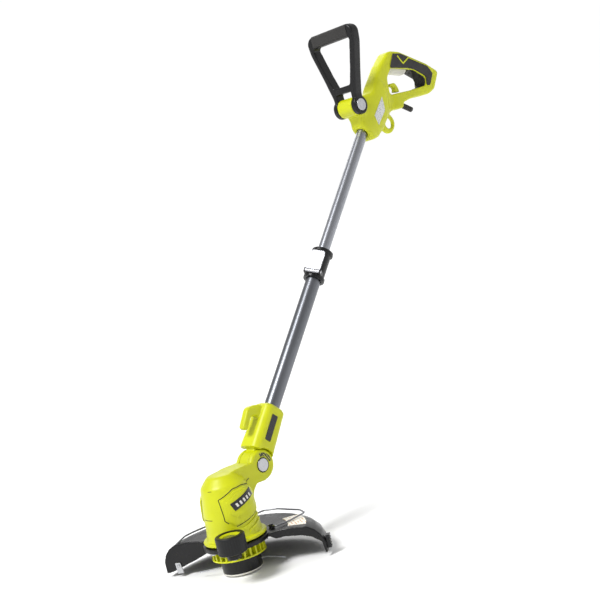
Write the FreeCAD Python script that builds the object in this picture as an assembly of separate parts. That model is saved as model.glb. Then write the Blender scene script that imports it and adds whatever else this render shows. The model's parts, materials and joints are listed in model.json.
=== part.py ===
import FreeCAD, Part
import math
import os
from FreeCAD import Placement, Rotation, Vector as V

# Corded string trimmer. Millimetres, +Z up, +Y towards the operator, +X to the operator's left.
# The pieces are drawn with Z counted from spool_low below; the finished machine is then lifted so
# that the origin is on the motor axis, at the face of the tap button that meets the ground.

# ---- general fits and walls ---------------------------------------------------------------
running = 0.05            # radial clearance of a turning or sliding fit
gap = 0.4                 # clearance between pieces that pass each other
wall = 3.0                # moulded shells
lip = 0.25                # clearance round a piece that drops into a pocket

# ---- overall layout -----------------------------------------------------------------------
lean = 41.8               # angle between the motor axis and the tube, degrees
tube_foot_y = 72.3        # point of the tube's axis from which distances along it are counted
tube_foot_z = 157.6
knuckle_y = 78.0          # head pivot, behind the motor axis
knuckle_z = 155.9
mouth_s = 700.0           # where the tube enters the rear housing, measured along it from the pivot

# ---- tubes and collar ---------------------------------------------------------------------
lower_tube_r = 14.0
lower_tube_wall = 1.2
upper_tube_r = 11.0
upper_tube_wall = 1.2
tube_in_housing = 62.0
upper_tube_low_s = 212.0  # lower end of the inner tube, inside the outer one
guide_length = 20.0
collar_s = 368.0
collar_length = 62.0
collar_r = 17.5
collar_flange_r = 20.5
collar_flange_t = 7.0
collar_turn = 30.0        # the lever faces this far round from the front, degrees
tube_seat = 20.0          # length of outer tube held in the collar
lever_width = 27.0
lever_length = 43.0
lever_t = 2.4
lever_pin_r = 2.5

# ---- spool --------------------------------------------------------------------------------
shaft_r = 4.0
button_r = 16.0
button_drop = 3.0         # the tap button stands this far below its cover, and travels as far
spool_low = -2.0          # lower face of the spool's cover
cover_t = 3.0
cup_r = 34.5
cup_wall = 2.5
cup_top = 25.0
reel_z = 7.2
reel_height = 10.0
reel_core_r = 14.0
line_r = 0.8
line_z = 9.5
line_reach = 76.0         # radius of the line's tips
line_turn = 43.0          # direction in which the line leaves, from +Y towards +X, degrees

# ---- motor head ---------------------------------------------------------------------------
vent_r = 47.0
vent_z = 26.2
vent_height = 18.8
vent_count = 26
collar_plate_r = 57.0     # guard plate under the motor housing
plate_t = 8.0
flange_r = 54.5
flange_height = 6.0
body_foot_r = 48.0
body_mid_r = 44.5
body_mid_z = 104.0
body_top_r = 38.5
body_top_z = 146.0
dome_z = 169.0
bearing_r = 11.0
bearing_t = 6.0
stator_r = 30.0
stator_length = 42.0
stator_z = 84.0
rotor_r = 18.0
air_gap = 1.0
commutator_r = 10.0
commutator_length = 11.0
fan_r = 35.0
fan_z = 68.0
fan_height = 9.0
fan_count = 9
knuckle_r = 27.0
knuckle_half = 21.0       # half width across the two ears
tongue_half = 11.0
pivot_r = 7.0
push_r = 11.5
push_recess = 8.0         # depth of the button's pocket in the ear
push_travel = 3.5

# ---- guard --------------------------------------------------------------------------------
guard_r = 151.0
guard_top_z = 55.0
guard_foot_z = 3.0
guard_t = 3.0
guard_from = -113.0       # ends of the fan, from +Y towards +X, degrees
guard_to = 57.0
blade_at_r = 124.0
blade_width = 10.0
blade_length = 19.0
blade_t = 1.5
wire_r = 1.5
wire_hinge_y = 50.0

# ---- edging wheel -------------------------------------------------------------------------
wheel_turn = 133.7        # direction of the wheel, from +Y towards +X, degrees
wheel_reach = 83.0
wheel_r = 24.8
wheel_height = 30.0
rim_r = 20.5
axle_r = 5.0

# ---- clamp at the foot of the tube --------------------------------------------------------
clamp_top_s = 109.0
clamp_foot_s = 24.0
clamp_half = 24.0
clamp_screw_depth = 9.0
saddle_gap = 1.0
hook_half = 7.0

# ---- rear housing -------------------------------------------------------------------------
body_half = 19.0
loop_half = 15.0
grip_half = 18.0
lug_y = 619.0             # ring below the housing, for hanging the machine up
lug_z = 692.0
lug_r = 21.0
lug_hole_r = 11.0
trigger_half = 7.0
trigger_pin_r = 2.5
barrel_r = 18.5
barrel_y = 525.0
barrel_z = 735.0

# ---- front handle -------------------------------------------------------------------------
eye_r = 18.5
eye_t = 10.0
eye_gap = 0.5
handle_depth = 22.0
handle_width = 126.0
handle_height = 153.0     # from the pivot to the top
arm_t = 11.5
bar_height = 23.0
crossbar_low = 29.0
crossbar_height = 13.0
handle_tilt = 2.0
cap_r = 12.0
cap_t = 3.5
cap_travel = 3.0
cap_proud = 1.2
bolt_r = 6.0

# ---- derived places -----------------------------------------------------------------------
lift = button_drop - spool_low
pivot = V(0, knuckle_y, knuckle_z)
tube_foot = V(0, tube_foot_y, tube_foot_z)
tube_turn = Rotation(V(1, 0, 0), -lean)
along = tube_turn.multVec(V(0, 0, 1))
front = tube_turn.multVec(V(0, -1, 0))
cover_z = spool_low
cup_z = cover_z + cover_t
plate_z = vent_z + vent_height
flange_z = plate_z + plate_t + 2.0
foot_z = flange_z + flange_height
lower_bearing_z = flange_z + wall
upper_bearing_z = body_top_z + 1.5
commutator_z = stator_z + stator_length + 6.0
eye_in = body_half + eye_gap
eye_out = eye_in + eye_t


# ---- helpers ------------------------------------------------------------------------------
def outline(corners):
    """Face in the XY plane from (u, v, radius) corners: straight sides with tangent arcs."""
    count = len(corners)
    starts, ends, middles = [], [], []
    for i, (u, v, radius) in enumerate(corners):
        here = V(u, v, 0)
        back = (V(*corners[i - 1][:2], 0) - here).normalize()
        ahead = (V(*corners[(i + 1) % count][:2], 0) - here).normalize()
        half = back.getAngle(ahead) / 2
        cut = radius / math.tan(half)
        inward = (back + ahead).normalize() if radius else V(0, 0, 0)
        starts.append(here + back * cut)
        ends.append(here + ahead * cut)
        middles.append(here + inward * (radius / math.sin(half) - radius))
    edges = []
    for i in range(count):
        if corners[i][2]:
            edges.append(Part.Arc(starts[i], middles[i], ends[i]).toShape())
        after = starts[(i + 1) % count]
        if (after - ends[i]).Length > 1e-6:
            edges.append(Part.makeLine(ends[i], after))
    return Part.Face(Part.Wire(edges))


def side_plate(corners, x_from, x_to):
    """Prism of a (y, z, radius) outline between two distances across the machine."""
    face = outline(corners)
    face.Placement = Placement(V(x_from, 0, 0), Rotation(V(1, 1, 1), 120))
    return face.extrude(V(x_to - x_from, 0, 0))


def lathe(corners, turn=360.0):
    """Solid of revolution about Z from a (radius, z, corner radius) outline."""
    face = outline(corners)
    face.Placement = Placement(V(0, 0, 0), Rotation(V(1, 0, 0), 90))
    return face.revolve(V(0, 0, 0), V(0, 0, 1), turn)


def ring(outer, inner, z_from, z_to):
    return lathe([(inner, z_from, 0), (outer, z_from, 0), (outer, z_to, 0), (inner, z_to, 0)])


def disc(radius, z_from, z_to):
    return Part.makeCylinder(radius, z_to - z_from, V(0, 0, z_from))


def across(radius, x_from, x_to, centre):
    """Cylinder along X through a point."""
    return Part.makeCylinder(radius, x_to - x_from, V(x_from, centre.y, centre.z), V(1, 0, 0))


def block(x0, x1, y0, y1, z0, z1):
    return Part.makeBox(x1 - x0, y1 - y0, z1 - z0, V(x0, y0, z0))


def on_tube(shape):
    """Carry a shape drawn with the tube as its Z axis, and the front at -Y, to its place."""
    shape.Placement = Placement(tube_foot, tube_turn).multiply(shape.Placement)
    return shape


def turned(shape, degrees):
    """Turn about Z; degrees run from +Y towards +X."""
    return shape.rotated(V(0, 0, 0), V(0, 0, 1), -degrees)


def tube_point(s, n):
    return tube_foot + along * s + front * n


def halves(shape, reach=400.0):
    """Split a solid on the machine's middle plane into its left (+X) and right shells."""
    low, high = -200, 1000
    left = shape.common(block(0, reach, low, high, low, high))
    right = shape.common(block(-reach, 0, low, high, low, high))
    return left.removeSplitter(), right.removeSplitter()


def rod(points, radius, bend):
    """Bent round rod: straight runs joined by arcs of one bend radius."""
    edges = []
    start = points[0]
    for i in range(1, len(points) - 1):
        here = points[i]
        back = (points[i - 1] - here).normalize()
        ahead = (points[i + 1] - here).normalize()
        half = back.getAngle(ahead) / 2
        cut = bend / math.tan(half)
        middle = here + (back + ahead).normalize() * (bend / math.sin(half) - bend)
        edges.append(Part.makeLine(start, here + back * cut))
        edges.append(Part.Arc(here + back * cut, middle, here + ahead * cut).toShape())
        start = here + ahead * cut
    edges.append(Part.makeLine(start, points[-1]))
    path = Part.Wire(edges)
    heading = (points[1] - points[0]).normalize()
    section = Part.Wire(Part.makeCircle(radius, points[0], heading))
    return path.makePipeShell([section], True, False)


def screw(length, radius, head_r, head_t):
    """Pan-head screw pointing down Z, with the underside of its head at Z = 0."""
    slot = block(-head_r, head_r, -0.5, 0.5, head_t - 0.8, head_t + 1)
    head = disc(head_r, 0, head_t).cut(slot)
    return head.fuse(disc(radius, -length, 0)).removeSplitter()


def cross_screw(head_at, length, place):
    """Screw across the machine, with its head on the right side."""
    piece = screw(length, 1.8, 3.5, 2.3)
    piece.Placement = Placement(V(-head_at, place.y, place.z), Rotation(V(0, 1, 0), -90))
    return piece


def coil(radius, wire, z_from, z_to, turns):
    """Compression spring: round wire along a helix."""
    height = z_to - z_from - 2 * wire
    helix = Part.makeHelix(height / turns, height, radius)
    helix.Placement = Placement(V(0, 0, z_from + wire), Rotation())
    section = Part.Wire(Part.makeCircle(wire, V(radius, 0, z_from + wire), V(0, 1, 0)))
    return Part.Wire(helix.Edges).makePipeShell([section], True, True)


# ---- spool: everything that turns with the motor ------------------------------------------
def make_tap_button():
    low = cover_z - button_drop
    body = disc(button_r, low, cup_z + gap)
    stop = disc(button_r + 3.5, cup_z + gap, cup_z + gap + 2.0)
    edge = [e for e in body.Edges if e.BoundBox.ZMax < low + 0.1]
    return body.makeFillet(1.5, edge).fuse(stop).removeSplitter()


def make_spool_cover():
    cover = ring(cup_r, button_r + lip, cover_z, cup_z)
    edge = [e for e in cover.Edges if e.BoundBox.ZMax < cover_z + 0.1 and e.BoundBox.XMax > cup_r - 1]
    return cover.makeChamfer(1.0, edge)


def make_spool_housing():
    inner = cup_r - cup_wall
    cup = lathe([(inner, cup_z, 0), (cup_r, cup_z, 0), (cup_r, cup_top, 2.0), (shaft_r, cup_top, 0),
                 (shaft_r, cup_top - 2.2, 0), (inner, cup_top - 2.2, 0)])
    hub = ring(shaft_r + 4, shaft_r, cup_top, cup_top + 14)
    cup = cup.fuse(hub)
    for side in (0, 180):
        hole = Part.makeCylinder(2.5, 12, V(0, inner - 5, line_z), V(0, 1, 0))
        cup = cup.cut(turned(hole, line_turn + side))
    return cup.removeSplitter()


def make_eyelets():
    eyelets = []
    for side in (0, 180):
        start = V(0, cup_r - cup_wall, line_z)
        sleeve = Part.makeCylinder(2.5, cup_wall, start, V(0, 1, 0))
        collar = Part.makeCylinder(3.6, 1.0, V(0, cup_r + 0.2, line_z), V(0, 1, 0))
        neck = Part.makeCylinder(2.5, 1.0, V(0, cup_r - 0.5, line_z), V(0, 1, 0))
        hole = Part.makeCylinder(line_r + 0.3, 12, V(0, cup_r - 8, line_z), V(0, 1, 0))
        eyelets.append(turned(sleeve.fuse([collar, neck]).cut(hole).removeSplitter(), line_turn + side))
    return Part.makeCompound(eyelets)


def make_line_spool():
    flange_r_in = cup_r - cup_wall - 1.5
    top = reel_z + reel_height
    sheet = 1.5
    spool = lathe([(shaft_r, reel_z + 6, 0), (11.5, reel_z + 6, 0), (11.5, reel_z, 0),
                   (flange_r_in, reel_z, 0), (flange_r_in, reel_z + sheet, 0),
                   (reel_core_r, reel_z + sheet, 0), (reel_core_r, top - sheet, 0),
                   (flange_r_in, top - sheet, 0), (flange_r_in, top, 0), (shaft_r, top, 0)])
    return spool


def make_wound_line():
    return ring(27.0, reel_core_r, reel_z + 1.5, reel_z + reel_height - 1.5)


def make_cutting_lines():
    lines = []
    for side in (0, 180):
        start = V(0, cup_r - 1.5, line_z)
        bend = V(0, cup_r + 12, line_z)
        aside = 15.0
        tip = V(aside, math.sqrt(line_reach ** 2 - aside ** 2), line_z - 4)
        lines.append(turned(rod([start, bend, tip], line_r, 25), line_turn + side))
    return Part.makeCompound(lines)


def make_tap_spring():
    return coil(8.0, 0.6, cup_z + gap + 2.2, reel_z + 5.8, 4)


def make_shaft():
    return disc(shaft_r, reel_z + 6, upper_bearing_z + bearing_t)


def make_armature():
    core = ring(rotor_r, shaft_r, stator_z + 3, stator_z + stator_length - 3)
    for turn in range(12):
        slot = block(-1.4, 1.4, rotor_r - 6, rotor_r + 1, stator_z, stator_z + stator_length)
        core = core.cut(turned(slot, 30 * turn))
    winding = ring(rotor_r - 5, shaft_r, stator_z, commutator_z)
    commutator = ring(commutator_r, shaft_r, commutator_z, commutator_z + commutator_length)
    return core.fuse([winding, commutator]).removeSplitter()


def make_fan():
    hub = ring(9, shaft_r, fan_z, fan_z + fan_height)
    plate = ring(fan_r, shaft_r, fan_z + fan_height - 1.5, fan_z + fan_height)
    fan = hub.fuse(plate)
    for turn in range(fan_count):
        blade = block(-0.9, 0.9, 8, fan_r - 1, fan_z, fan_z + fan_height)
        fan = fan.fuse(turned(blade, 360.0 / fan_count * turn))
    return fan.removeSplitter()


# ---- motor head ---------------------------------------------------------------------------
def make_vent_ring():
    base = ring(vent_r, shaft_r + 5.5, vent_z, vent_z + 2.4)
    top = ring(vent_r - 1.5, 34, plate_z - 2.4, plate_z)
    cage = base.fuse([top, ring(36, 34, vent_z, plate_z)])
    for turn in range(vent_count):
        fin = block(-1.6, 1.6, 35, vent_r - 0.8, vent_z, plate_z)
        cage = cage.fuse(turned(fin, 360.0 / vent_count * (turn + 0.5)))
    return cage.removeSplitter()


def body_profile(inset):
    """Half section of the motor housing, moved in by a wall; it closes on the motor axis."""
    return [(0, flange_z + inset, 0), (body_foot_r - inset, flange_z + inset, 0),
            (body_foot_r - inset, foot_z, 0), (body_mid_r + 1 - inset, foot_z + 18, 20),
            (body_mid_r - inset, body_mid_z, 60), (body_top_r - inset, body_top_z + 3, 12),
            (body_top_r - 15 - inset, dome_z - 3 - inset, 12), (0, dome_z - inset, 0)]


def neck_outline(inset):
    """Side view of the neck that joins the motor housing to the knuckle."""
    r = knuckle_r - inset
    return [(-14, dome_z - 4 - inset, 4), (20, dome_z - 1 - inset, 20),
            (knuckle_y - 0.9 * r, knuckle_z + 0.43 * r, 0), (knuckle_y, knuckle_z - r, 0),
            (knuckle_y - 22, knuckle_z - r + 1, 8), (46, 119, 6), (40, 100 + inset, 4), (-14, 100 + inset, 4)]


def head_solid():
    body = lathe(body_profile(0))
    flange = ring(flange_r, body_foot_r - 6, flange_z, foot_z)
    edge = [e for e in flange.Edges if e.BoundBox.XMax > flange_r - 0.5 and e.BoundBox.ZLength < 0.1]
    flange = flange.makeFillet(1.8, edge)
    neck = side_plate(neck_outline(0), -knuckle_half, knuckle_half)
    return body.fuse([flange, neck, knuckle_ears()])


def knuckle_ears():
    """Disc across the head with its two rims rounded; the tongue's slot parts it into ears."""
    ears = across(knuckle_r, -knuckle_half, knuckle_half, pivot)
    rims = [e for e in ears.Edges if e.Curve.TypeId == "Part::GeomCircle"]
    return ears.makeFillet(5.0, rims)


def head_cavity():
    room = lathe(body_profile(wall)).fuse(side_plate(neck_outline(wall + 1), -knuckle_half + wall,
                                                     knuckle_half - wall))
    webs = [ring(body_mid_r, bearing_r, lower_bearing_z, lower_bearing_z + bearing_t),
            ring(body_mid_r, bearing_r, upper_bearing_z, upper_bearing_z + bearing_t)]
    return room.cut(webs[0]).cut(webs[1])


def make_head_shells():
    tongue_room = tongue_half + gap
    shell = head_solid().cut(head_cavity())
    slot = across(knuckle_r + gap, -tongue_room, tongue_room, pivot)
    back_wall = across(knuckle_r + gap + wall, -tongue_room, tongue_room, pivot)
    back_wall = back_wall.common(side_plate(neck_outline(0), -knuckle_half, knuckle_half))
    shell = shell.fuse([knuckle_ears(), back_wall]).cut(slot)
    shell = shell.cut(across(pivot_r, -knuckle_half + wall, knuckle_half - push_recess, pivot))
    shell = shell.cut(across(push_r + lip, knuckle_half - push_recess, knuckle_half + 1, pivot))
    shell = shell.cut(disc(bearing_r - 3, flange_z - 1, lower_bearing_z + 1))
    for hole in head_screw_places():
        shell = shell.fuse(across(4.5, -knuckle_half + 3, knuckle_half - 3, hole).cut(slot))
        shell = shell.cut(across(1.8, 4 - knuckle_half, knuckle_half - 3, hole))
        shell = shell.cut(across(3.8, -60, 4 - knuckle_half, hole))
    return halves(shell.removeSplitter())


def head_screw_places():
    return [V(0, 34, 148), V(0, -36, 94)]


def make_head_screws():
    screws = []
    for place in head_screw_places():
        screws.append(cross_screw(knuckle_half - 4, 2 * knuckle_half - 9, place))
    return Part.makeCompound(screws)


def make_stator():
    can = ring(stator_r, stator_r - 2.5, stator_z - 3, stator_z + stator_length + 3)
    core = ring(stator_r - 2.5, rotor_r + air_gap, stator_z, stator_z + stator_length)
    return can.fuse(core).removeSplitter()


def make_bearings():
    lower = ring(bearing_r, shaft_r + running, lower_bearing_z, lower_bearing_z + bearing_t)
    upper = ring(bearing_r, shaft_r + running, upper_bearing_z, upper_bearing_z + bearing_t)
    return Part.makeCompound([lower, upper])


def brush_box(margin, y_from, y_to):
    low = commutator_z + 2 - margin
    high = commutator_z + commutator_length - 2 + margin
    return block(-2.5 - margin, 2.5 + margin, y_from, y_to, low, high)


def make_brush_holder():
    z_low = commutator_z
    z_high = commutator_z + commutator_length
    holder = ring(body_top_r - wall - 1.5, commutator_r + 3, z_low, z_high)
    for side in (0, 180):
        holder = holder.cut(turned(brush_box(0, 0, 27), side))
    return holder


def make_brushes():
    brush = brush_box(0, commutator_r + running, 26)
    return Part.makeCompound([brush, turned(brush, 180)])


def make_pivot_pin():
    return across(pivot_r, -knuckle_half + wall, knuckle_half - push_recess, pivot)


def make_pivot_spring():
    spring = coil(4.0, 0.4, 0, push_travel + 0.8, 3)
    spring.Placement = Placement(V(knuckle_half - push_recess, pivot.y, pivot.z), Rotation(V(0, 1, 0), 90))
    return spring


def make_pivot_button():
    button = across(push_r, knuckle_half - push_recess + push_travel + 1.0, knuckle_half + 1.2, pivot)
    rim = [e for e in button.Edges if e.BoundBox.XMin > knuckle_half]
    return button.makeFillet(1.0, rim)


def make_head_badge():
    corners = [(-19, 116, 1.5), (-10, 104, 1.5), (27, 126, 1.5), (18, 138, 1.5)]
    return side_plate(corners, 36.5, body_mid_r + 0.6).cut(head_solid())


# ---- guard and what is on it --------------------------------------------------------------
def guard_profile(inset):
    """Section of the fan from the motor outwards; the rim turns down to the skirt."""
    top = guard_top_z - inset
    rim = guard_r - inset
    return [(collar_plate_r - 3, plate_z + plate_t - 1 - inset), (collar_plate_r + 18, top - 0.5),
            (guard_r - 55, top), (guard_r - 28, top - 2.5), (guard_r - 14, top - 10),
            (guard_r - 5 - inset * 0.7, top - 20), (rim, top - 33), (rim, guard_foot_z)]


def fan(inset_from, inset_to, start, end):
    """Part of the fan's shell between two insets and two directions."""
    upper = guard_profile(inset_from)
    lower = guard_profile(inset_to)
    loop = [V(r, 0, z) for r, z in upper + lower[::-1]]
    face = Part.Face(Part.makePolygon(loop + loop[:1]))
    swept = face.revolve(V(0, 0, 0), V(0, 0, 1), end - start)
    return swept.rotated(V(0, 0, 0), V(0, 0, 1), 90 - end)


def end_wall(direction, heights):
    """Upright wall under one end of the fan; heights are (radius, foot z) pairs."""
    top = [(r, z) for r, z in guard_profile(guard_t / 2)]
    loop = [V(0, r, z) for r, z in top + heights[::-1]]
    face = Part.Face(Part.makePolygon(loop + loop[:1]))
    plate = face.extrude(V(guard_t, 0, 0))
    plate.translate(V(-guard_t / 2, 0, 0))
    return turned(plate, direction)


def make_guard():
    plate = ring(collar_plate_r, shaft_r + 8, plate_z, plate_z + plate_t)
    for turn in range(6):
        vent = block(-9, 9, 16, 30, plate_z - 1, plate_z + plate_t + 1)
        plate = plate.cut(turned(vent, 60 * turn + 30))
    left_foot = [(collar_plate_r - 2, plate_z + 2), (collar_plate_r + 6, 31), (86, 22), (136, 5),
                 (guard_r - 6, guard_foot_z)]
    right_foot = [(collar_plate_r - 2, plate_z + 2), (collar_plate_r + 12, 40), (86, 41), (114, 38),
                  (130, 33), (145, 22), (guard_r - 4, guard_foot_z)]
    shell = fan(0, guard_t, guard_from, guard_to)
    walls = [end_wall(guard_from + 0.6, left_foot), end_wall(guard_to - 0.6, right_foot)]
    guard = plate.fuse([shell, wheel_arm()] + walls + wire_clips())
    return guard.cut(make_guard_screws()).cut(make_side_wire()).removeSplitter()


def make_guard_screws():
    screws = []
    for turn in (-60, 60, 180):
        piece = screw(plate_t - 2, 1.8, 3.4, 2.0)
        piece.rotate(V(0, 0, 0), V(1, 0, 0), 180)
        piece.translate(V(0, vent_r + 5.5, plate_z))
        screws.append(turned(piece, turn))
    return Part.makeCompound(screws + [blade_screw()])


def make_line_blade():
    half = blade_width / 2
    top = guard_foot_z + blade_length - 1.5
    corners = [(blade_at_r - half, top, 0), (blade_at_r + half, top, 0),
               (blade_at_r + half - 1, guard_foot_z - 1.5, 0), (blade_at_r - half - 3, guard_foot_z - 1.5, 0)]
    plate = side_plate(corners, 0, blade_t)
    plate.translate(V(-guard_t / 2 - blade_t, 0, 0))
    return turned(plate, guard_from + 0.6).cut(blade_screw())


def blade_screw():
    piece = screw(blade_t + guard_t - 0.5, 1.8, 3.2, 1.6)
    piece.rotate(V(0, 0, 0), V(0, 1, 0), -90)
    piece.translate(V(-guard_t / 2 - blade_t, blade_at_r, guard_foot_z + blade_length - 7))
    return turned(piece, guard_from + 0.6)


def make_guard_clip():
    body = block(-6, 6, guard_r, guard_r + 7, guard_foot_z + 5, guard_foot_z + 27)
    for step in range(4):
        z = guard_foot_z + 7.5 + 5.0 * step
        body = body.cut(block(-7, 7, guard_r + 5.8, guard_r + 8, z, z + 2.4))
    clip = turned(body, guard_to - 5)
    return clip.cut(fan(-0.02, 12, guard_from, guard_to))


def make_guard_label():
    sheet = fan(-0.5, 0, 16, 50)
    band = ring(guard_r - 29, guard_r - 60, 0, 100)
    return sheet.common(band).removeSplitter()


def wire_height():
    return guard_top_z + wire_r + 1.2


def make_wire_guard():
    z = wire_height()
    half = [V(30, wire_hinge_y, z), V(50, wire_hinge_y, z), V(57, 76, z), V(56, 94, z), V(54, 116, z), V(30, 127, z)]
    return rod(half + [V(-point.x, point.y, z) for point in half[::-1]], wire_r, 9)


def wire_clips():
    """Two lugs on the guard in which the straight ends of the wire turn."""
    z = wire_height()
    clips = []
    for side in (-1, 1):
        clip = block(-3, 3, wire_hinge_y - 4, wire_hinge_y + 4, guard_top_z - 4, z + 3.5)
        tops = [e for e in clip.Edges if e.BoundBox.ZMin > z + 3 and e.BoundBox.XLength > 5]
        clip = clip.makeFillet(3.0, tops)
        clip.translate(V(side * 38, 0, 0))
        clips.append(clip.cut(across(wire_r + running, -60, 60, V(0, wire_hinge_y, z))))
    return clips


def make_side_wire():
    z = wire_height()
    points = []
    for turn in (-64, -76, -88, -100, -112):
        points.append(V(118 * math.sin(math.radians(turn)), 118 * math.cos(math.radians(turn)), z))
    points[-1].z = guard_top_z - wire_r
    return rod(points, wire_r, 40)


# ---- edging wheel -------------------------------------------------------------------------
def wheel_centre():
    a = math.radians(wheel_turn)
    return V(wheel_reach * math.sin(a), wheel_reach * math.cos(a), 0)


def wheel_z():
    return plate_z + plate_t + 0.6


def at_wheel(shape):
    shape.translate(wheel_centre())
    return shape


def wheel_arm():
    """Arm of the guard that carries the wheel's axle."""
    arm = block(-12, 12, collar_plate_r - 6, wheel_reach, plate_z, plate_z + plate_t - 2)
    arm = turned(arm, wheel_turn).fuse(at_wheel(disc(12, plate_z - 2, plate_z + plate_t - 2)))
    return arm.cut(at_wheel(disc(axle_r, 0, 200)))


def make_wheel_axle():
    pin = disc(axle_r, plate_z - 4, wheel_z() + wheel_height - 8)
    head = disc(axle_r + 4, wheel_z() + wheel_height - 8 + gap, wheel_z() + wheel_height - 4)
    neck = disc(axle_r, plate_z, wheel_z() + wheel_height - 6)
    return at_wheel(pin.fuse([head, neck]).removeSplitter())


def make_wheel_rim():
    z = wheel_z()
    top = z + wheel_height
    bore = axle_r + running
    return at_wheel(lathe([(bore, z, 0), (rim_r, z, 0), (rim_r, top - 2, 0), (rim_r - 3, top - 2, 0),
                           (rim_r - 8, top - 3.5, 0), (rim_r - 9, top - 8, 0), (bore, top - 8, 0)]))


def make_wheel_tyre():
    z = wheel_z()
    top = z + wheel_height
    tyre = lathe([(rim_r, z, 0), (wheel_r, z, 2.5), (wheel_r, top, 2.5), (rim_r - 2.5, top, 0),
                  (rim_r - 2.5, top - 2, 0), (rim_r, top - 2, 0)])
    return at_wheel(tyre)


# ---- clamp at the foot of the tube --------------------------------------------------------
def clamp_section(half_x, y_front, y_back, corner, s):
    face = outline([(-half_x, y_front, corner), (half_x, y_front, corner), (half_x, y_back, corner),
                    (-half_x, y_back, corner)])
    face.translate(V(0, 0, s))
    return face.OuterWire


def make_clamp_shells():
    foot = clamp_section(clamp_half, -26, 25, 13, clamp_foot_s)
    head = clamp_section(clamp_half - 3, -25, 21, 12, clamp_top_s - 5)
    cap = clamp_section(clamp_half - 7, -20, 17, 10, clamp_top_s)
    body = Part.makeLoft([foot, head], True, True).fuse(Part.makeLoft([head, cap], True, True))
    hook = outline([(-18, 103, 3), (-36, 98, 14), (-54, 84, 14), (-49, 46, 4.5), (-38, 46, 4.5),
                    (-40, 72, 8), (-33, 78, 5), (-18, 77, 0)])
    hook.Placement = Placement(V(-hook_half, 0, 0), Rotation(V(1, 1, 1), 120))
    hook = hook.extrude(V(2 * hook_half, 0, 0))
    rails = [e for e in hook.Edges if abs(e.CenterOfMass.x) > hook_half - 0.01 and e.CenterOfMass.y < -20]
    hook = hook.makeFillet(3.0, rails)
    tongue = block(-tongue_half, tongue_half, -15, 20, 5, clamp_foot_s + 10)
    body = on_tube(body.fuse([hook, tongue]))
    body = body.cut(across(knuckle_r + saddle_gap, tongue_half, 60, pivot))
    body = body.cut(across(knuckle_r + saddle_gap, -60, -tongue_half, pivot))
    body = body.fuse(across(knuckle_r - 0.5, -tongue_half, tongue_half, pivot))
    body = body.cut(across(pivot_r + running, -60, 60, pivot))
    body = body.cut(on_tube(disc(lower_tube_r, 40, 200)))
    body = body.cut(on_tube(disc(lower_tube_r - 4, 30, 41)))
    for place in clamp_screw_places():
        body = body.cut(across(1.8, clamp_screw_depth - clamp_half, clamp_half - 7, place))
        body = body.cut(across(3.8, -60, clamp_screw_depth - clamp_half, place))
    return halves(body.removeSplitter())


def clamp_screw_places():
    return [tube_point(s, n) for s, n in ((56, -18.2), (92, -17.6), (52, 20.5))]


def make_clamp_screws():
    screws = []
    for place in clamp_screw_places():
        length = 2 * clamp_half - clamp_screw_depth - 9
        screws.append(cross_screw(clamp_half - clamp_screw_depth, length, place))
    return Part.makeCompound(screws)


def make_clamp_label():
    face = outline([(-10, 44, 1), (3, 44, 1), (3, 92, 1), (-10, 92, 1)])
    face.Placement = Placement(V(clamp_half - 5, 0, 0), Rotation(V(1, 1, 1), 120))
    block_out = on_tube(face.extrude(V(7, 0, 0)))
    outer = on_tube(Part.makeLoft([clamp_section(clamp_half + 0.6, -27, 26, 13, clamp_foot_s),
                                   clamp_section(clamp_half - 2.4, -26, 22, 12, clamp_top_s - 5)],
                                  True, True))
    inner = on_tube(Part.makeLoft([clamp_section(clamp_half, -26, 25, 13, clamp_foot_s),
                                   clamp_section(clamp_half - 3, -25, 21, 12, clamp_top_s - 5)],
                                  True, True))
    return block_out.common(outer).cut(inner)


def make_lower_tube():
    return on_tube(ring(lower_tube_r, lower_tube_r - lower_tube_wall, 41, collar_s + tube_seat))


# ---- collar and lever ---------------------------------------------------------------------
def at_collar(shape):
    """The collar is drawn with its lever at -Y, then turned round the tube."""
    return on_tube(shape.rotated(V(0, 0, 0), V(0, 0, 1), collar_turn))


def lever_pin_place():
    return V(0, -collar_r - 1.5, collar_s + 10)


def make_collar_body():
    top = collar_s + collar_length
    body = disc(collar_r, collar_s, top)
    low_flange = disc(collar_flange_r - 0.5, collar_s, collar_s + collar_flange_t)
    high_flange = disc(collar_flange_r, top - collar_flange_t, top)
    back = block(-9, 9, 8, collar_flange_r + 1, top - 20, top - 3)
    foot = block(-7, 7, lower_tube_r + 1, collar_flange_r, collar_s - 6, collar_s + 10)
    cheeks = block(-lever_width / 2 - 3, lever_width / 2 + 3, -collar_r - 5, -4, collar_s + 5, collar_s + 15)
    slab = block(-lever_width / 2 + 2, lever_width / 2 - 2, -collar_r - 1, -4, collar_s + 8, top - 6)
    body = body.fuse([low_flange, high_flange, back, foot, cheeks, slab])
    seat = block(-lever_width / 2 - gap, lever_width / 2 + gap, -60, -collar_r - 1.0,
                 collar_s + 7, collar_s + 11 + lever_length)
    body = body.cut(seat)
    pin = lever_pin_place()
    barrel_room = across(lever_pin_r + 2 + gap, -lever_width / 2 - gap, lever_width / 2 + gap, pin)
    body = body.cut(barrel_room)
    body = body.cut(across(lever_pin_r, -60, 60, pin))
    body = body.cut(disc(lower_tube_r + running, collar_s - 20, collar_s + tube_seat + gap))
    body = body.cut(disc(upper_tube_r + running, collar_s, top + 10))
    return at_collar(body.removeSplitter())


def make_lever_pin():
    reach = lever_width / 2 + 3
    return at_collar(across(lever_pin_r, -reach, reach, lever_pin_place()))


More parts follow.
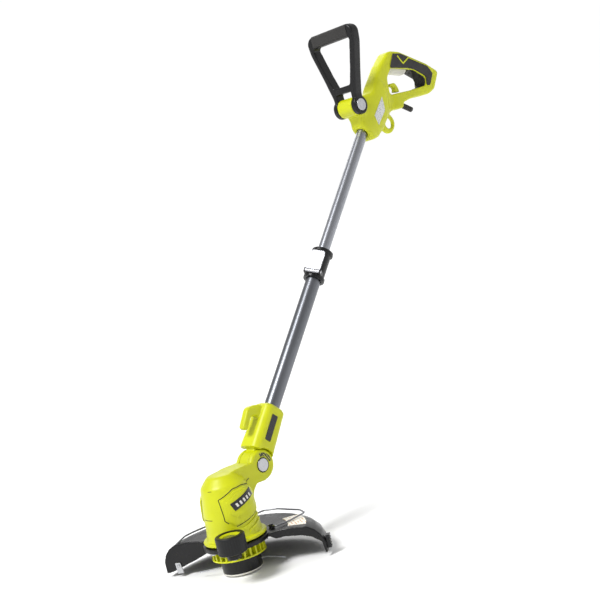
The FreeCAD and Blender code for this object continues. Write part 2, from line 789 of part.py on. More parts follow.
def make_lock_lever():
    pin = lever_pin_place()
    half = lever_width / 2
    out = pin.y - lever_t
    plate = block(-half, half, out - 0.6, out - 0.6 + lever_t, pin.z, pin.z + lever_length)
    corners = [e for e in plate.Edges if e.BoundBox.YLength > lever_t - 0.1 and e.BoundBox.ZMin > pin.z + 9]
    plate = plate.makeFillet(6.0, corners)
    barrel = across(lever_pin_r + 2, -half, half, pin)
    lever = plate.fuse(barrel).cut(across(lever_pin_r + running, -60, 60, pin))
    return at_collar(lever.removeSplitter())


# ---- rear handle assembly -----------------------------------------------------------------
def make_upper_tube():
    tube = ring(upper_tube_r, upper_tube_r - upper_tube_wall, upper_tube_low_s, mouth_s + tube_in_housing)
    return on_tube(tube)


def make_guide_bush():
    outer = lower_tube_r - lower_tube_wall - running
    return on_tube(ring(outer, upper_tube_r, upper_tube_low_s, upper_tube_low_s + guide_length))


def frame_outline():
    """Side view of the whole rear housing, clockwise from the tube's mouth."""
    return [(531, 692, 6), (528, 742, 6), (540, 754, 8), (580, 755, 14), (594, 777, 30),
            (624, 808, 40), (658, 834, 24), (690, 830, 30), (768, 799, 60), (803, 779, 7),
            (778, 744, 12), (758, 736, 30), (700, 733, 30), (672, 727, 8), (667, 716, 5),
            (638, 716, 6), (622, 706, 8), (598, 684, 14), (574, 668, 6), (552, 664, 5)]


def loop_outline():
    """The finger opening inside the loop."""
    return [(654, 799, 7), (637, 780, 10), (637, 746, 6), (650, 747, 20), (700, 749, 30),
            (750, 754, 7), (757, 770, 9), (724, 788, 12), (704, 793, 6)]


def body_outline():
    """The wide part round the tube and the pivot of the front handle."""
    return [(531, 692, 6), (528, 742, 6), (540, 754, 8), (580, 755, 14), (590, 770, 14),
            (612, 786, 14), (624, 762, 20), (624, 712, 12), (598, 684, 14), (574, 668, 6), (552, 664, 5)]


def offset_face(corners, inset):
    return outline(corners).makeOffset2D(-inset)


def inset_plate(corners, inset, x_from, x_to):
    face = offset_face(corners, inset)
    face.Placement = Placement(V(x_from, 0, 0), Rotation(V(1, 1, 1), 120)).multiply(face.Placement)
    return face.extrude(V(x_to - x_from, 0, 0))


def rounded_plate(corners, half, radius):
    """Plate across the middle plane with its two outlines rounded over."""
    plate = side_plate(corners, -half, half)
    rims = [e for e in plate.Edges if abs(abs(e.CenterOfMass.x) - half) < 1e-4]
    return plate.makeFillet(radius, rims)


def barrel_centre():
    return V(0, barrel_y, barrel_z)


def trigger_place():
    return V(0, 662, 806)


def make_rear_shells():
    loop_hole = side_plate(loop_outline(), -60, 60)
    solid = rounded_plate(frame_outline(), loop_half, 4.0).fuse(rounded_plate(body_outline(), body_half, 4.5))
    solid = solid.cut(loop_hole)
    solid = solid.fuse(across(barrel_r, -body_half, body_half, barrel_centre()))
    lug = across(lug_r, -7, 7, V(0, lug_y, lug_z))
    solid = solid.fuse(lug.common(block(-9, 9, lug_y - 23, lug_y + 26, lug_z - 27, lug_z + 28)))
    thin = loop_half - wall
    room = inset_plate(frame_outline(), wall, -thin, thin)
    loop_wall = inset_plate(loop_outline(), -wall, -60, 60)
    wide = inset_plate(body_outline(), wall, -body_half + wall, body_half - wall)
    room = room.fuse(wide).cut(loop_wall)
    sleeve = on_tube(disc(upper_tube_r + 3.5, mouth_s - 4, mouth_s + tube_in_housing + 4))
    ribs = on_tube(block(-60, 60, -60, 60, mouth_s + tube_in_housing, mouth_s + tube_in_housing + 4))
    bolt_tube = across(bolt_r + 3, -60, 60, barrel_centre())
    room = room.cut(sleeve).cut(bolt_tube).cut(ribs)
    shell = solid.cut(room)
    for place in rear_screw_places():
        shell = shell.fuse(across(4.5, 1 - loop_half, loop_half - 1, place))
    return [bored_rear_shell(half) for half in halves(shell)]


def bored_rear_shell(half):
    """Cut the seats of the tube, bolt, trigger, cord and screws out of one half."""
    half = half.cut(on_tube(disc(upper_tube_r, mouth_s - 30, mouth_s + tube_in_housing)))
    half = half.cut(across(bolt_r, -60, 60, barrel_centre()))
    half = half.cut(across(lug_hole_r, -60, 60, V(0, lug_y + 4, lug_z)))
    half = half.cut(trigger_slot())
    half = half.cut(make_trigger_pin())
    half = half.cut(cord_guard_bore())
    for place in rear_screw_places():
        half = half.cut(across(1.8, 6 - loop_half, loop_half - 4, place))
        half = half.cut(across(3.8, -60, 6 - loop_half, place))
    return half.removeSplitter()


def trigger_slot():
    half = trigger_half + gap
    return block(-half, half, 650, 714, 780, 814)


def rear_screw_places():
    return [V(0, 634, 800), V(0, 742, 797), V(0, 784, 772), V(0, 748, 745), V(0, 655, 738)]


def make_rear_screws():
    screws = []
    for place in rear_screw_places():
        screws.append(cross_screw(loop_half - 6, 2 * loop_half - 13, place))
    return Part.makeCompound(screws)


def make_grips():
    corners = [(667, 827, 4), (690, 825, 20), (764, 797, 10), (779, 776, 6), (762, 752, 6),
               (752, 755, 3), (756, 772, 8), (724, 789, 12), (704, 794, 5), (649, 799, 3)]
    pad = side_plate(corners, loop_half - 4, grip_half)
    rims = [e for e in pad.Edges if abs(e.CenterOfMass.x - grip_half) < 1e-4]
    pad = pad.makeFillet(2.0, rims)
    pad = pad.cut(rounded_plate(frame_outline(), loop_half, 4.0))
    return pad, pad.mirror(V(0, 0, 0), V(1, 0, 0))


def make_trigger():
    corners = [(655, 811, 3), (653, 797, 3), (664, 789, 6), (698, 783, 4), (708, 790, 4),
               (708, 803, 3), (680, 808, 10)]
    body = rounded_plate(corners, trigger_half, 1.5)
    return body.cut(across(trigger_pin_r + running, -60, 60, trigger_place()))


def make_trigger_pin():
    reach = loop_half - 1
    return across(trigger_pin_r, -reach, reach, trigger_place())


def make_switch():
    body = block(-6, 6, 684, 702, 814.5, 820.5)
    plunger = block(-2, 2, 688, 692, 812.5, 814.5)
    return body.fuse(plunger).removeSplitter()


def make_trigger_spring():
    spring = coil(2.6, 0.4, 0, 10, 5)
    spring.translate(V(0, 672, 812.5))
    return spring


def make_front_bolt():
    return across(bolt_r, -eye_in - 3.5, eye_in + 3.5, barrel_centre())


def cord_axis():
    return V(0, 673, 725), V(0, 31, -14).normalize()


def cord_guard_bore():
    start, heading = cord_axis()
    return Part.makeCylinder(6.5, 22, start - heading * 18, heading)


def make_cord_guard():
    start, heading = cord_axis()
    root = Part.makeCylinder(6.5, 18, start - heading * 18, heading)
    sleeve = Part.makeCylinder(5.5, 34, start, heading)
    for step in range(5):
        groove = Part.makeCylinder(7, 1.6, start + heading * (8 + 4.6 * step), heading)
        groove = groove.cut(Part.makeCylinder(4.7, 1.6, start + heading * (8 + 4.6 * step), heading))
        sleeve = sleeve.cut(groove)
    bore = Part.makeCylinder(3.2, 60, start - heading * 20, heading)
    return root.fuse(sleeve).cut(bore).removeSplitter()


def make_cord_hook():
    """Hook on the lower arm that the extension lead is looped over."""
    corners = [(660, 751, 1), (663, 757, 3), (661, 762, 3), (650, 764, 2), (650, 769, 2),
               (666, 770, 6), (673, 760, 5), (675, 750, 1)]
    hook = rounded_plate(corners, 5, 0.8)
    return hook.cut(rounded_plate(frame_outline(), loop_half, 4.0).cut(side_plate(loop_outline(), -60, 60)))


def make_rating_plate():
    corners = [(601, 745, 2), (603, 716, 4), (574, 691, 2), (567, 710, 4)]
    return side_plate(corners, body_half, body_half + 0.8)


# ---- front handle -------------------------------------------------------------------------
def front_frame(shape):
    """Carry a shape drawn about the pivot, with the handle straight up, to its place."""
    shape.Placement = Placement(barrel_centre(), Rotation(V(1, 0, 0), handle_tilt)).multiply(shape.Placement)
    return shape


def handle_side(inset):
    """Half of the handle's outline, from the eye up, moved in towards the opening."""
    half = handle_width / 2
    return [(eye_out - inset, 0, 0), (eye_out + 0.5 - inset, 22, 10), (eye_out + 13 - inset, 66, 60),
            (half - 4 - inset, 118, 50), (half - inset, handle_height - inset, 16)]


def mirrored(side):
    return [(-x, h, r) for x, h, r in side[::-1]]


def upright(corners, depth):
    face = outline(corners)
    face.Placement = Placement(V(0, depth / 2, 0), Rotation(V(1, 0, 0), 90))
    return face.extrude(V(0, -depth, 0))


def make_front_handle():
    body = upright(handle_side(0) + mirrored(handle_side(0)), handle_depth)
    rims = [e for e in body.Edges if abs(abs(e.CenterOfMass.y) - handle_depth / 2) < 1e-4]
    body = body.makeFillet(4.0, [e for e in rims if e.BoundBox.ZMax > 1])
    low = crossbar_low + crossbar_height
    top = handle_height - bar_height
    half = handle_width / 2 - arm_t
    opening = upright([(eye_out - arm_t + 4, low, 5), (eye_out + 13 - arm_t, 66, 60),
                       (half - 4, 118, 50), (half, top, 7), (-half, top, 7), (4 - half, 118, 50),
                       (arm_t - eye_out - 13, 66, 60), (arm_t - eye_out - 4, low, 5)], handle_depth + 10)
    slot = block(-eye_in, eye_in, -handle_depth, handle_depth, -40, crossbar_low)
    body = body.cut(opening).cut(slot)
    foot = block(-100, 100, -60, 60, -60, 0)
    body = body.cut(foot)
    for side in (-1, 1):
        x_from = min(side * eye_in, side * eye_out)
        eye = across(eye_r, x_from, x_from + eye_t, V(0, 0, 0))
        outer = [e for e in eye.Edges if abs(e.CenterOfMass.x - side * eye_out) < 1e-4]
        body = body.fuse(eye.makeFillet(2.0, outer))
    body = body.cut(across(bolt_r + running, -60, 60, V(0, 0, 0)))
    body = body.cut(block(-eye_in, eye_in, -handle_depth, handle_depth, -40, crossbar_low))
    for side in (-1, 1):
        ends = sorted((side * (eye_in + 4), side * (eye_out + 5)))
        body = body.cut(across(cap_r + lip, ends[0], ends[1], V(0, 0, 0)))
    sleeve_room = front_grip_solid(0)
    return front_frame(body.cut(sleeve_room).removeSplitter())


def front_grip_solid(margin):
    """Soft cover round the top bar, between the two arms."""
    half = handle_width / 2 - arm_t - 4
    low = handle_height - bar_height
    core = 3.0
    outer = block(-half, half, -handle_depth / 2 - 0.6, handle_depth / 2 + 0.6, low - 0.6, handle_height + 0.6)
    rims = [e for e in outer.Edges if e.BoundBox.XLength > half]
    outer = outer.makeFillet(5.0, rims)
    inner = block(-half - 1, half + 1, core - handle_depth / 2, handle_depth / 2 - core,
                  low + core, handle_height - core)
    return outer.cut(inner)


def make_front_grip():
    return front_frame(front_grip_solid(0))


def make_handle_caps():
    caps = []
    for side in (1, -1):
        out = side * (eye_out + cap_proud)
        back = side * (eye_out + cap_proud - cap_t - 1.0)
        cap = across(cap_r, min(out, back), max(out, back), V(0, 0, 0))
        rim = [e for e in cap.Edges if abs(e.CenterOfMass.x - out) < 1e-4]
        caps.append(front_frame(cap.makeFillet(1.0, rim)))
    return caps


# ---- every sub-part by name ---------------------------------------------------------------
head_left, head_right = make_head_shells()
clamp_left, clamp_right = make_clamp_shells()
rear_left, rear_right = make_rear_shells()
grip_left, grip_right = make_grips()
cap_left, cap_right = make_handle_caps()

parts = {
    "tap_button": make_tap_button(), "spool_cover": make_spool_cover(),
    "spool_housing": make_spool_housing(), "line_eyelets": make_eyelets(),
    "line_spool": make_line_spool(), "wound_line": make_wound_line(),
    "cutting_lines": make_cutting_lines(), "tap_spring": make_tap_spring(),
    "motor_shaft": make_shaft(), "armature": make_armature(),
    "cooling_fan": make_fan(), "vent_ring": make_vent_ring(), "head_shell_left": head_left,
    "head_shell_right": head_right, "stator": make_stator(), "bearings": make_bearings(),
    "brush_holder": make_brush_holder(), "brushes": make_brushes(),
    "pivot_pin": make_pivot_pin(), "pivot_spring": make_pivot_spring(),
    "pivot_button": make_pivot_button(), "head_badge": make_head_badge(),
    "head_screws": make_head_screws(), "guard": make_guard(),
    "guard_screws": make_guard_screws(), "line_blade": make_line_blade(), "guard_clip": make_guard_clip(),
    "guard_label": make_guard_label(), "wire_guard": make_wire_guard(), "side_wire": make_side_wire(),
    "wheel_axle": make_wheel_axle(), "wheel_rim": make_wheel_rim(),
    "wheel_tyre": make_wheel_tyre(), "clamp_left": clamp_left, "clamp_right": clamp_right,
    "clamp_screws": make_clamp_screws(), "clamp_label": make_clamp_label(),
    "lower_tube": make_lower_tube(), "collar_body": make_collar_body(), "lever_pin": make_lever_pin(),
    "lock_lever": make_lock_lever(), "upper_tube": make_upper_tube(), "guide_bush": make_guide_bush(),
    "rear_shell_left": rear_left, "rear_shell_right": rear_right, "rear_screws": make_rear_screws(),
    "grip_left": grip_left, "grip_right": grip_right, "trigger": make_trigger(),
    "trigger_pin": make_trigger_pin(), "trigger_spring": make_trigger_spring(),
    "switch": make_switch(), "handle_bolt": make_front_bolt(), "cord_guard": make_cord_guard(),
    "cord_hook": make_cord_hook(), "rating_plate": make_rating_plate(),
    "front_handle": make_front_handle(), "front_grip": make_front_grip(),
    "handle_cap_left": cap_left, "handle_cap_right": cap_right,
}

os.makedirs("parts", exist_ok=True)
for name, shape in parts.items():
    shape = shape.copy()
    shape.translate(V(0, 0, lift))
    shape.exportStep("parts/" + name + ".step")
    print(name, len(shape.Solids), round(shape.Volume / 1000.0, 2), "cm3", "valid" if shape.isValid() else "INVALID")
print(len(parts), "sub-parts")
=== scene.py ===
# %% [markdown]
# # A corded string trimmer
# The frame brings in every solid of the machine at its real place and size. This lesson gives
# them their finishes, rounds the moulded housings, and adds the small pieces that only show.

# %% Load the frame
import json
import math

import bmesh
import bpy
import numpy as np
from mathutils import Matrix, Vector
from mathutils.bvhtree import BVHTree
from mathutils.geometry import intersect_point_line


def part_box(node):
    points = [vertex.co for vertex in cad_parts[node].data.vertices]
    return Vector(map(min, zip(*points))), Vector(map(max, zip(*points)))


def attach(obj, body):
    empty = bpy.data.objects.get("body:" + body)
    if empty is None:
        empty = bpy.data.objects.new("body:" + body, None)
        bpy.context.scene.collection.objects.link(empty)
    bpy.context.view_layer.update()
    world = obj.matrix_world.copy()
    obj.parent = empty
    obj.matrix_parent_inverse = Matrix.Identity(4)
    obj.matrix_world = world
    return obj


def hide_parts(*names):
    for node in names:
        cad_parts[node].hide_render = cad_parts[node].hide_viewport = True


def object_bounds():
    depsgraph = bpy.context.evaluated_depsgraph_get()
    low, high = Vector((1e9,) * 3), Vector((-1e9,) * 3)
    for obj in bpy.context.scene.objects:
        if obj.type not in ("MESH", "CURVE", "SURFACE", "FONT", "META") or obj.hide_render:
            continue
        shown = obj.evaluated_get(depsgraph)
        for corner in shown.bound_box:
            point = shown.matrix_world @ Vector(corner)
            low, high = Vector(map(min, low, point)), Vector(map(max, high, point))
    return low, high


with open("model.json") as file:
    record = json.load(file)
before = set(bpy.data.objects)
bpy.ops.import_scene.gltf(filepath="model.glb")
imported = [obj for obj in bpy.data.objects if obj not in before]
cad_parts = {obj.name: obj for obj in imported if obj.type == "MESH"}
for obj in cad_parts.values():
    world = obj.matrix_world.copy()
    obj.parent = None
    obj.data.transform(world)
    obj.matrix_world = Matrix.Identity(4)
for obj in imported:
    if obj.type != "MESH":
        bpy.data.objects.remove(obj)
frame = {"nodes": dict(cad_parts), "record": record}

cad_box = [list(corner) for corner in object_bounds()]
cad = frame["nodes"]
print("CAD box", [[round(v, 3) for v in corner] for corner in cad_box])

# %% [markdown]
# Most of the machine is moulded plastic. Real mouldings are never one flat colour: the pigment
# varies a little, the tool leaves a fine grain, and raised edges are polished by handling. A noise
# over several centimetres shifts the colour, a second one about a millimetre across makes the
# grain as bump, and the pointiness of the surface picks out the edges.


# %% Small helpers for shader nodes
def linear(red, green, blue):
    """Colour from 0-255 display values."""
    return [((v / 255 + 0.055) / 1.055) ** 2.4 if v > 10 else v / 255 / 12.92 for v in (red, green, blue)]


def new_material(name):
    material = bpy.data.materials.new(name)
    material.use_nodes = True
    tree = material.node_tree
    return material, tree, tree.nodes["Principled BSDF"]


def noise(tree, vector, scale, detail=3.0):
    node = tree.nodes.new("ShaderNodeTexNoise")
    node.inputs["Scale"].default_value = scale
    node.inputs["Detail"].default_value = detail
    tree.links.new(vector, node.inputs["Vector"])
    return node.outputs["Fac"]


def spread(tree, value, low, high, to_low, to_high):
    """Carry a value from one range to another, clamped."""
    node = tree.nodes.new("ShaderNodeMapRange")
    tree.links.new(value, node.inputs["Value"])
    for socket, number in zip(("From Min", "From Max", "To Min", "To Max"), (low, high, to_low, to_high)):
        node.inputs[socket].default_value = number
    return node.outputs["Result"]


def mixed(tree, factor, first, second):
    """Mix two colours; each is a list of three numbers or a socket."""
    node = tree.nodes.new("ShaderNodeMix")
    node.data_type = "RGBA"
    tree.links.new(factor, node.inputs["Factor"])
    for socket, colour in ((node.inputs[6], first), (node.inputs[7], second)):
        if isinstance(colour, list):
            socket.default_value = colour + [1.0]
        else:
            tree.links.new(colour, socket)
    return node.outputs[2]


def bumped(tree, surface, height, depth):
    """Feed a height, in metres when multiplied by depth, into the surface's normal."""
    node = tree.nodes.new("ShaderNodeBump")
    node.inputs["Strength"].default_value = 1.0
    node.inputs["Distance"].default_value = depth
    tree.links.new(height, node.inputs["Height"])
    tree.links.new(node.outputs["Normal"], surface.inputs["Normal"])


def tinted(colour, share):
    return [min(1.0, v * share) for v in colour]


# %% Moulded plastic and rubber
def moulded(name, colour, roughness, grain=1100.0, depth=0.00004, mottle=0.06, wear=1.25, specular=0.5):
    material, tree, surface = new_material(name)
    place = tree.nodes.new("ShaderNodeTexCoord").outputs["Object"]
    cloud = spread(tree, noise(tree, place, 16.0), 0.35, 0.65, 0.0, 1.0)
    body = mixed(tree, cloud, tinted(colour, 1 - mottle), tinted(colour, 1 + mottle))
    edge = tree.nodes.new("ShaderNodeNewGeometry").outputs["Pointiness"]
    rubbed = spread(tree, edge, 0.53, 0.60, 0.0, 0.6)
    colour_out = mixed(tree, rubbed, body, tinted(colour, wear))
    tree.links.new(colour_out, surface.inputs["Base Color"])
    scuffs = spread(tree, noise(tree, place, 60.0, 5.0), 0.3, 0.7, roughness - 0.06, roughness + 0.08)
    tree.links.new(scuffs, surface.inputs["Roughness"])
    surface.inputs["Specular IOR Level"].default_value = specular
    bumped(tree, surface, noise(tree, place, grain, 2.0), depth)
    return material


lime = moulded("lime_moulding", linear(190, 195, 8), 0.38, specular=0.4)
black = moulded("black_moulding", linear(9, 9, 11), 0.30, grain=1400.0, depth=0.00004, wear=2.6,
                specular=0.35)
pale = moulded("pale_moulding", linear(205, 203, 196), 0.42, wear=1.1)
rubber = moulded("soft_rubber", linear(44, 43, 42), 0.58, grain=700.0, depth=0.00012, wear=1.5, specular=0.35)
tread = moulded("wheel_rubber", linear(9, 10, 11), 0.46, grain=900.0, depth=0.00008, wear=2.2, specular=0.35)
# Lime darkened to the tone it takes in shade: painted shade for the cords that stand in for grooves and gaps.
painted_groove_shade = moulded("parting_shadow", linear(46, 49, 4), 0.7, mottle=0.1)
print("plastics ready")

# %% [markdown]
# The tubes are drawn metal: very fine scratches run along their length. Stretching one noise along
# the tube's own axis gives that, and the roughness follows it so that highlights streak the same
# way. Small bright parts are plated and only need faint polishing marks.


# %% Metals
def drawn_metal(name, colour, roughness, tilt=0.0, streak=0.08, depth=0.00001):
    material, tree, surface = new_material(name)
    place = tree.nodes.new("ShaderNodeTexCoord").outputs["Object"]
    along = tree.nodes.new("ShaderNodeMapping")
    along.vector_type = "TEXTURE"
    along.inputs["Rotation"].default_value = (-math.radians(tilt), 0, 0)
    along.inputs["Scale"].default_value = (0.01, 0.01, 1.0)
    tree.links.new(place, along.inputs["Vector"])
    lines = noise(tree, along.outputs["Vector"], 18.0, 4.0)
    cloud = spread(tree, noise(tree, place, 9.0), 0.35, 0.65, 0.0, 1.0)
    worn = mixed(tree, cloud, tinted(colour, 0.94), tinted(colour, 1.05))
    tree.links.new(worn, surface.inputs["Base Color"])
    surface.inputs["Metallic"].default_value = 1.0
    streaks = spread(tree, lines, 0.3, 0.7, roughness - streak, roughness + streak)
    tree.links.new(streaks, surface.inputs["Roughness"])
    bumped(tree, surface, lines, depth)
    return material


lean = 41.8
tube_low = drawn_metal("lower_tube_metal", linear(112, 114, 119), 0.34, lean)
tube_high = drawn_metal("upper_tube_metal", linear(150, 152, 158), 0.32, lean)
steel = drawn_metal("bright_steel", linear(196, 197, 200), 0.28)
plated = drawn_metal("plated_steel", linear(184, 185, 189), 0.30, lean)
wire_metal = drawn_metal("wire_metal", linear(132, 133, 137), 0.30)
winding = drawn_metal("copper_winding", linear(190, 110, 60), 0.35)
line_nylon = moulded("nylon_line", linear(150, 154, 160), 0.3, mottle=0.1, wear=1.1)
print("metals ready")

# %% [markdown]
# Labels are thin printed film. No wording belongs on them here, so each carries plain bars and
# rows only. The rows come from the distance along one direction, cut into steps by a sine wave,
# and a noise breaks them into unequal lengths like lines of small print.


# %% Printed film
def printed(name, ground, ink, direction, pitch, cover=0.0, roughness=0.35):
    """Rows of broken bars across a direction, pitch metres apart; cover shifts how much is inked."""
    material, tree, surface = new_material(name)
    place = tree.nodes.new("ShaderNodeTexCoord").outputs["Object"]
    dot = tree.nodes.new("ShaderNodeVectorMath")
    dot.operation = "DOT_PRODUCT"
    dot.inputs[1].default_value = direction
    tree.links.new(place, dot.inputs[0])
    wave = tree.nodes.new("ShaderNodeMath")
    wave.operation = "MULTIPLY"
    wave.inputs[1].default_value = 2 * math.pi / pitch
    tree.links.new(dot.outputs["Value"], wave.inputs[0])
    sine = tree.nodes.new("ShaderNodeMath")
    sine.operation = "SINE"
    tree.links.new(wave.outputs[0], sine.inputs[0])
    rows = spread(tree, sine.outputs[0], 0.1, 0.4, 0.0, 1.0)
    broken = spread(tree, noise(tree, place, 0.9 / pitch, 1.0), 0.50 - cover, 0.54 - cover, 0.0, 1.0)
    both = tree.nodes.new("ShaderNodeMath")
    both.operation = "MULTIPLY"
    tree.links.new(rows, both.inputs[0])
    tree.links.new(broken, both.inputs[1])
    tree.links.new(mixed(tree, both.outputs[0], ground, ink), surface.inputs["Base Color"])
    surface.inputs["Roughness"].default_value = roughness
    bumped(tree, surface, noise(tree, place, 900.0), 0.00001)
    return material


white_film = printed("warning_film", linear(240, 236, 226), linear(206, 158, 112), (0.5, 0.86, 0), 0.0055)
grey_film = printed("rating_film", linear(206, 208, 206), linear(150, 152, 152), (0, 0.5, 0.86), 0.0035)
black_film = printed("black_film", linear(18, 18, 20), linear(36, 36, 38), (0, 0.6, 0.75), 0.003,
                     roughness=0.22)
print("films ready")

# %% Which finish each solid of the frame takes
finish_of_slot = {
    "lime_plastic": lime, "black_plastic": black, "grey_plastic": pale, "soft_grip": rubber,
    "tread": tread, "tube_metal": tube_low, "steel": steel, "pressed_metal": plated,
    "copper": winding, "line": line_nylon, "label": white_film, "dark_label": black_film,
}
slot_of_node = {row["node"]: row["material_slot"] for row in frame["record"]["subparts"]}
own_finish = {"upper_tube": tube_high, "wire_guard": wire_metal, "side_wire": wire_metal}


def dress(piece, material):
    piece.data.materials.clear()
    piece.data.materials.append(material)


for node_name, solid in cad.items():
    dress(solid, own_finish.get(node_name, finish_of_slot[slot_of_node[node_name]]))
print(len(cad), "solids dressed")

# %% [markdown]
# Moulded housings have generous rounded edges and soft blends where one form grows out of another,
# but the solids meet in crisp lines. A remesh at about a millimetre followed by gentle smoothing
# rounds every edge by the same few millimetres, much as a mould maker does, and leaves the place
# and size as they were. The two halves of a housing become one skin.


# %% Round the mouldings
def merged_copy(names):
    """One bmesh holding the solids of these nodes, with the loose triangles joined up."""
    mesh = bmesh.new()
    for node_name in names:
        mesh.from_mesh(cad[node_name].data)
    bmesh.ops.remove_doubles(mesh, verts=mesh.verts, dist=1e-6)
    return mesh


def finished(piece):
    """Swap a piece's live modifiers for the mesh they make."""
    bpy.context.view_layer.update()
    graph = bpy.context.evaluated_depsgraph_get()
    mesh = bpy.data.meshes.new_from_object(piece.evaluated_get(graph))
    piece.modifiers.clear()
    piece.data = mesh
    return piece


def placed(name, mesh, body, material, smooth=True):
    """Turn a mesh into a piece that rides on a body and wears the given material."""
    piece = bpy.data.objects.new(name, mesh)
    bpy.context.scene.collection.objects.link(piece)
    mesh.polygons.foreach_set("use_smooth", [smooth] * len(mesh.polygons))
    dress(piece, material)
    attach(piece, body)
    return piece


def rounded(name, names, body, material, voxel, passes):
    joined = merged_copy(names)
    mesh = bpy.data.meshes.new(name)
    joined.to_mesh(mesh)
    joined.free()
    piece = bpy.data.objects.new(name, mesh)
    bpy.context.scene.collection.objects.link(piece)
    remesh = piece.modifiers.new("skin", "REMESH")
    remesh.mode = "VOXEL"
    remesh.voxel_size = voxel
    soften = piece.modifiers.new("soften", "SMOOTH")
    soften.factor = 0.5
    soften.iterations = passes
    finished(piece)
    mesh = piece.data
    bpy.data.objects.remove(piece)
    piece = placed(name, mesh, body, material)
    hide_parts(*names)
    print(name, len(mesh.polygons), "faces")
    return piece


def softened(piece, share, passes):
    """Smooth a piece again, each point by the share that a function of its place gives it."""
    group = piece.vertex_groups.new(name="share")
    for vertex in piece.data.vertices:
        group.add([vertex.index], share(vertex.co), "REPLACE")
    again = piece.modifiers.new("again", "SMOOTH")
    again.factor = 0.5
    again.iterations = passes
    again.vertex_group = group.name
    finished(piece)
    piece.vertex_groups.clear()


def ramp(value, low, high):
    return min(1.0, max(0.0, (value - low) / (high - low)))


head = rounded("motor_housing", ["head_shell_left", "head_shell_right"], "head", lime,
               0.0011, 8)
rear = rounded("rear_housing", ["rear_shell_left", "rear_shell_right"], "handle", lime,
               0.0012, 10)
rounded("tube_clamp", ["clamp_left", "clamp_right"], "lower_shaft", lime, 0.0010, 12)
rounded("cord_catch", ["cord_hook"], "handle", lime, 0.0007, 9)
rounded("guard_fan", ["guard"], "head", black, 0.0012, 6)
d_handle = rounded("d_handle", ["front_handle"], "front_handle_body", black, 0.0009, 7)
rounded("top_bar_sleeve", ["front_grip"], "front_handle_body", rubber, 0.0009, 4)
left_grip = rounded("grip_cover_left", ["grip_left"], "handle", rubber, 0.0008, 4)
right_grip = rounded("grip_cover_right", ["grip_right"], "handle", rubber, 0.0008, 4)
rounded("finger_trigger", ["trigger"], "trigger_body", pale, 0.0006, 5)
rounded("locking_collar", ["collar_body"], "collar", black, 0.0008, 4)

# %% [markdown]
# The wide body of the rear housing and the arms of the front handle are rounder than the rest. They
# are smoothed again, except round the barrel that joins them. The housing's sides are also crowned:
# every point is drawn in towards the middle plane by its distance from a line up the body.

# %% Soften the wide body and the arms, and crown the sides
bolt_low, bolt_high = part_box("handle_bolt")
bolt_centre = Vector((0, (bolt_low[1] + bolt_high[1]) / 2, (bolt_low[2] + bolt_high[2]) / 2))
loop_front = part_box("trigger")[0][1]
body_line = [Vector((0, y / 1000, z / 1000)) for y, z in ((542, 690), (598, 745), (640, 803), (662, 815))]
crown_reach, crown_depth = 0.042, 0.42
least_share = 0.12


def from_barrel(place):
    return (Vector((0, place.y, place.z)) - bolt_centre).length


def housing_share(place):
    """Full on the wide body, none at the handle's barrel, and a little on the loop."""
    on_body = ramp(place.y, loop_front + 0.004, loop_front - 0.022)
    return ramp(from_barrel(place), 0.020, 0.032) * max(least_share, on_body)


def arm_share(place):
    """Full on the front handle's arms and bar, none round its two eyes."""
    return ramp(from_barrel(place), 0.021, 0.032)


def from_line(place, line):
    """Distance in the side view from a point to a line of straight runs."""
    flat = Vector((0, place.y, place.z))
    distances = []
    for a, b in zip(line, line[1:]):
        _, along = intersect_point_line(flat, a, b)
        distances.append((flat - a.lerp(b, min(1.0, max(0.0, along)))).length)
    return min(distances)


softened(rear, housing_share, 70)
softened(d_handle, arm_share, 10)
for vertex in rear.data.vertices:
    share = housing_share(vertex.co) * ramp(vertex.co.y, loop_front + 0.010, loop_front - 0.012)
    fall = min(1.0, from_line(vertex.co, body_line) / crown_reach) ** 2
    vertex.co.x *= 1 - crown_depth * share * fall
rear.data.update()

# %% [markdown]
# Smoothing also fills the corners of the round pockets that the pivot button and the two caps are
# pressed into. Their walls and floors are put back where the solids have them, so nothing meets
# when a button is pushed home.


# %% Open the pockets again
def pocket(piece, centre, radius, floor, side):
    """Push a piece's points out of a round pocket along X, to its wall or to its floor."""
    wall_band = 0.0016
    for vertex in piece.data.vertices:
        from_axis = Vector((0, vertex.co.y - centre.y, vertex.co.z - centre.z))
        if from_axis.length < radius and vertex.co.x * side > floor:
            if from_axis.length > radius - wall_band:
                outwards = from_axis.normalized() * radius
                vertex.co = Vector((vertex.co.x, centre.y + outwards.y, centre.z + outwards.z))
            else:
                vertex.co.x = floor * side
    piece.data.update()


def middle_of(node_name):
    low, high = (Vector(corner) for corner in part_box(node_name))
    return (low + high) / 2, (high.z - low.z) / 2, low.x, high.x


pocket_gap = 0.00025
cap_pocket = 0.0027
push_pocket = 0.0045
for node_name, side in (("handle_cap_left", 1), ("handle_cap_right", -1)):
    centre, radius, low_x, high_x = middle_of(node_name)
    inner = min(abs(low_x), abs(high_x))
    pocket(d_handle, centre, radius + pocket_gap, inner - cap_pocket, side)
centre, radius, low_x, high_x = middle_of("pivot_button")
pocket(head, centre, radius + pocket_gap, low_x - push_pocket, 1)

# %% [markdown]
# Raised panels and film lie on a curved housing, so they cannot be flat. A convex outline drawn in
# the side view is filled with a grid, each point of the grid is dropped sideways onto the skin, and
# the sheet is lifted along the skin's own normal. A skirt at the edge goes back into the housing, so
# the pad looks moulded on rather than floating.


